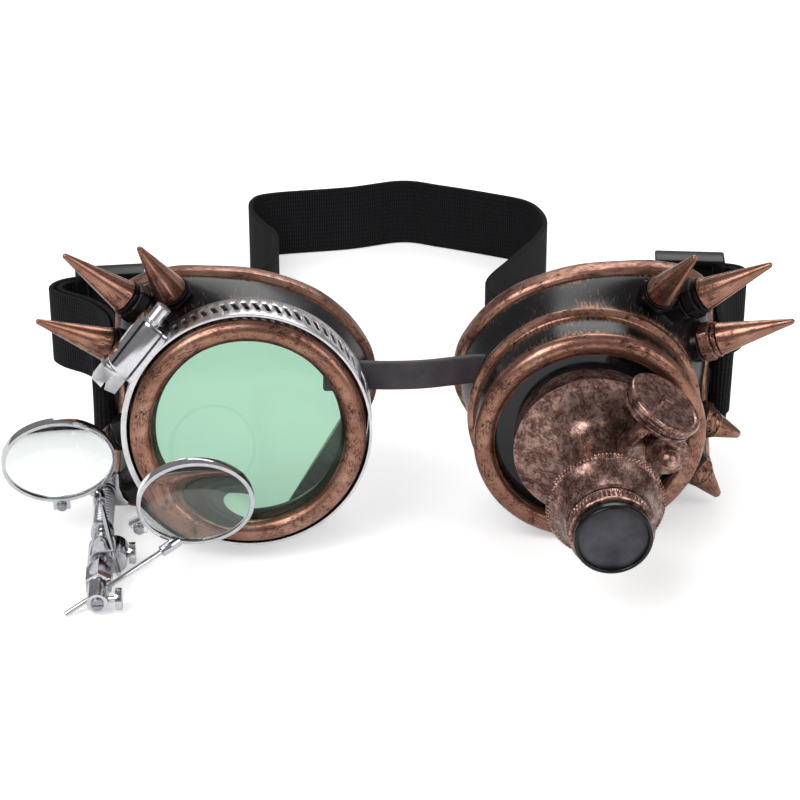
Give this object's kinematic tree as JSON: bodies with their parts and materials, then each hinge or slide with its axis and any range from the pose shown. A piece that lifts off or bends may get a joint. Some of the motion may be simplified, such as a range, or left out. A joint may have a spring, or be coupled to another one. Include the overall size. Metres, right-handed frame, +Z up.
{
  "type": "goggles",
  "caption": "Round-lens goggles with flared eyecups, metal spikes, a worm-drive clamp, sprung clip with swinging loupes, a focusing ocular and an elastic head strap.",
  "frame": {"origin": "centre of the bounding box in X and Y, on the surface the goggles lie on", "axes": "+X to the viewer's right across both lenses, +Y from the ocular back along the head strap, +Z up"},
  "size_m": [0.1996, 0.2602, 0.0799],
  "materials": {
    "cup_leather": "dark brown antiqued body with copper scuffs",
    "copper": "antiqued copper, brushed, black in the recesses",
    "lens_green": "pale mint tinted lens",
    "lens_smoke": "near black smoked lens, polished",
    "black_rubber": "matt black rubber",
    "black_steel": "blackened steel",
    "steel": "plain steel",
    "chrome": "bright chrome plating",
    "ocular_bronze": "mottled purple brown bronze paint, radially brushed",
    "eyepiece_black": "satin black",
    "eyepiece_glass": "scratched grey lens",
    "loupe_glass": "clear loupe lens",
    "nose_rubber": "dark grey rubber ribbon",
    "elastic": "black woven elastic with cross ribs",
    "slider_plastic": "black moulded plastic"
  },
  "bodies": {
    "frame_body": {"left_cup_shell": "cup_leather", "left_lens_gasket": "black_rubber", "left_spikes": "copper", "left_spike_nuts": "copper", "left_spike_collars": "black_steel", "left_spike_screws": "steel", "clamp_band": "chrome", "clamp_housing": "chrome", "right_cup_shell": "cup_leather", "right_lens_gasket": "black_rubber", "right_spikes": "copper", "right_spike_nuts": "copper", "right_spike_collars": "black_steel", "right_spike_screws": "steel", "clip_rod": "chrome", "rod_collar": "chrome", "clip_spring": "chrome", "fixed_jaw": "chrome", "jaw_nut": "chrome", "nose_strap": "nose_rubber", "head_strap": "elastic", "strap_bars": "steel"},
    "left_lens_body": {"left_lens": "lens_green"},
    "left_ring_body": {"left_lens_ring": "copper"},
    "right_lens_body": {"right_lens": "lens_smoke", "ocular_bell": "ocular_bronze", "side_drum": "ocular_bronze", "disc_arbor": "ocular_bronze", "drum_strut": "ocular_bronze", "side_post": "ocular_bronze"},
    "right_ring_body": {"right_lens_ring": "copper"},
    "eyepiece_body": {"eyepiece_rim": "eyepiece_black", "eyepiece_lens": "eyepiece_glass"},
    "focus_body": {"focus_ring": "ocular_bronze"},
    "side_disc_body": {"side_disc": "ocular_bronze"},
    "post_nut_body": {"post_nut": "copper"},
    "clamp_screw_body": {"clamp_screw": "chrome"},
    "jaw_body": {"sliding_jaw": "chrome"},
    "block_1_body": {"block_1": "chrome"},
    "arm_1_body": {"arm_1": "chrome"},
    "loupe_1_body": {"loupe_rim_1": "chrome", "loupe_lens_1": "loupe_glass", "rim_lock_1": "chrome"},
    "thumb_1_body": {"thumb_screw_1": "chrome"},
    "block_2_body": {"block_2": "chrome", "end_screw_2": "steel"},
    "arm_2_body": {"arm_2": "chrome"},
    "loupe_2_body": {"loupe_rim_2": "chrome", "loupe_lens_2": "loupe_glass", "rim_lock_2": "chrome"},
    "thumb_2_body": {"thumb_screw_2": "chrome"},
    "slider_left_body": {"strap_slider_left": "slider_plastic"},
    "slider_right_body": {"strap_slider_right": "slider_plastic"}
  },
  "joints": [
    {"name": "left_lens_out", "type": "slide", "parent": "frame_body", "child": "left_lens_body", "axis": [0.0296, -0.9963, 0.0802], "range_m": [0, 0.006]},
    {"name": "left_ring_turn", "type": "hinge", "parent": "left_lens_body", "child": "left_ring_body", "pos_m": [-0.0371, -0.0886, 0.0345], "axis": [0.0296, -0.9963, 0.0802], "range_deg": [0, 1440]},
    {"name": "right_lens_out", "type": "slide", "parent": "frame_body", "child": "right_lens_body", "axis": [0.0452, -0.996, -0.0767], "range_m": [0, 0.006]},
    {"name": "right_ring_turn", "type": "hinge", "parent": "right_lens_body", "child": "right_ring_body", "pos_m": [0.048, -0.0814, 0.0296], "axis": [0.0452, -0.996, -0.0767], "range_deg": [0, 1440]},
    {"name": "eyepiece_out", "type": "slide", "parent": "right_lens_body", "child": "eyepiece_body", "axis": [0.0452, -0.996, -0.0767], "range_m": [0, 0.003]},
    {"name": "focus_turn", "type": "hinge", "parent": "right_lens_body", "child": "focus_body", "pos_m": [0.04995, -0.12423, 0.0263], "axis": [0.0452, -0.996, -0.0767], "range_deg": [0, 270]},
    {"name": "side_disc_turn", "type": "hinge", "parent": "right_lens_body", "child": "side_disc_body", "pos_m": [0.06498, -0.09595, 0.04597], "axis": [0.5182, -0.1976, 0.8321], "continuous": true},
    {"name": "post_nut_turn", "type": "hinge", "parent": "right_lens_body", "child": "post_nut_body", "pos_m": [0.0655, -0.10095, 0.03305], "axis": [0.0452, -0.996, -0.0767], "continuous": true},
    {"name": "clamp_screw_turn", "type": "hinge", "parent": "frame_body", "child": "clamp_screw_body", "pos_m": [-0.06447, -0.0817, 0.05555], "axis": [0.6204, 0.0812, 0.7801], "continuous": true},
    {"name": "jaw_slide", "type": "slide", "parent": "frame_body", "child": "jaw_body", "axis": [0.0749, -0.9957, -0.055], "range_m": [0, 0.005], "stiffness_N_per_m": 400, "springref_m": -0.004, "deforming": ["clip_spring"]},
    {"name": "block_1_swing", "type": "hinge", "parent": "frame_body", "child": "block_1_body", "pos_m": [-0.07415, -0.09749, 0.00451], "axis": [0.0749, -0.9957, -0.055], "range_deg": [0, 60]},
    {"name": "arm_1_slide", "type": "slide", "parent": "block_1_body", "child": "arm_1_body", "axis": [-0.2565, 0.9505, 0.1754], "range_m": [-0.0014, 0.004]},
    {"name": "loupe_1_turn", "type": "hinge", "parent": "arm_1_body", "child": "loupe_1_body", "pos_m": [-0.07679, -0.07724, 0.01108], "axis": [-0.2565, 0.9505, 0.1754], "range_deg": [-40, 10]},
    {"name": "thumb_1_turn", "type": "hinge", "parent": "block_1_body", "child": "thumb_1_body", "pos_m": [-0.06721, -0.09637, 0.00454], "axis": [0.9972, 0.075, 0], "range_deg": [-90, 90]},
    {"name": "block_2_swing", "type": "hinge", "parent": "frame_body", "child": "block_2_body", "pos_m": [-0.07287, -0.11442, 0.00358], "axis": [0.0749, -0.9957, -0.055], "range_deg": [-8, 110]},
    {"name": "arm_2_slide", "type": "slide", "parent": "block_2_body", "child": "arm_2_body", "axis": [0.7815, 0.5411, 0.3107], "range_m": [-0.004, 0.005]},
    {"name": "loupe_2_turn", "type": "hinge", "parent": "arm_2_body", "child": "loupe_2_body", "pos_m": [-0.05496, -0.10223, 0.01068], "axis": [0.7815, 0.5411, 0.3107], "range_deg": [-20, 55]},
    {"name": "thumb_2_turn", "type": "hinge", "parent": "block_2_body", "child": "thumb_2_body", "pos_m": [-0.06766, -0.11713, 0.0034], "axis": [0.9972, 0.075, 0], "range_deg": [-90, 90]},
    {"name": "slider_left_slide", "type": "slide", "parent": "frame_body", "child": "slider_left_body", "axis": [0.9903, 0.1392, 0], "range_m": [-0.0005, 0.0015]},
    {"name": "slider_right_slide", "type": "slide", "parent": "frame_body", "child": "slider_right_body", "axis": [0.9969, -0.0785, 0], "range_m": [-0.001, 0.0015]}
  ],
  "couplings": [
    {"joint": "left_ring_turn", "follows": "left_lens_out", "rad_per_m": 4188.8},
    {"joint": "right_ring_turn", "follows": "right_lens_out", "rad_per_m": 4188.8},
    {"joint": "eyepiece_out", "follows": "focus_turn", "m_per_rad": 0.00063662}
  ]
}
